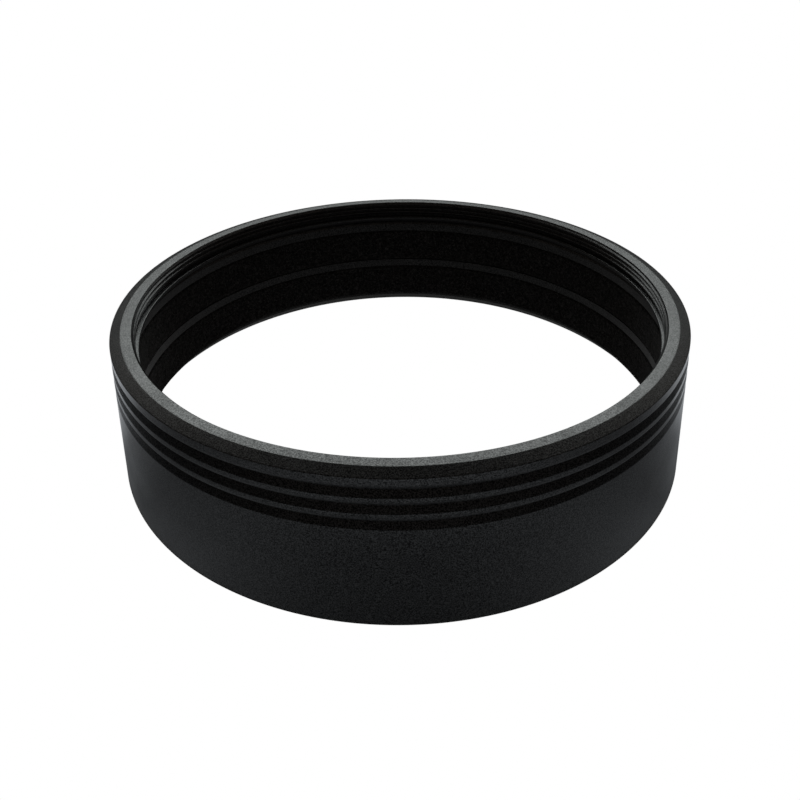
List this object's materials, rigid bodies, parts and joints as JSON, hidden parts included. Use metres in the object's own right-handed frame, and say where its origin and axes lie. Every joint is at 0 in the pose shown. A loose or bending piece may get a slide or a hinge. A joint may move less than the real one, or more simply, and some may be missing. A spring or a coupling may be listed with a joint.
{
  "type": "slip-on telescope front ring",
  "caption": "Open black ring with a chamfered top edge, shallow outer grip grooves, a fine female thread, an inner stop lip and felt-lined bore that slips over a tube.",
  "frame": {"origin": "centre of the ring's lower face, on the axis", "axes": "+Z along the ring's axis from the open slip-on end up to the threaded end; +Y points away from the viewer of the source picture; the felt seams are at -Y"},
  "size_m": [0.09, 0.09, 0.023],
  "materials": {
    "black_anodised": "satin black anodised over fine bead blasting",
    "black_felt": "short-pile black felt"
  },
  "bodies": {
    "root": {"ring_body": "black_anodised", "felt_strip_upper": "black_felt", "felt_strip_lower": "black_felt"}
  },
  "joints": []
}
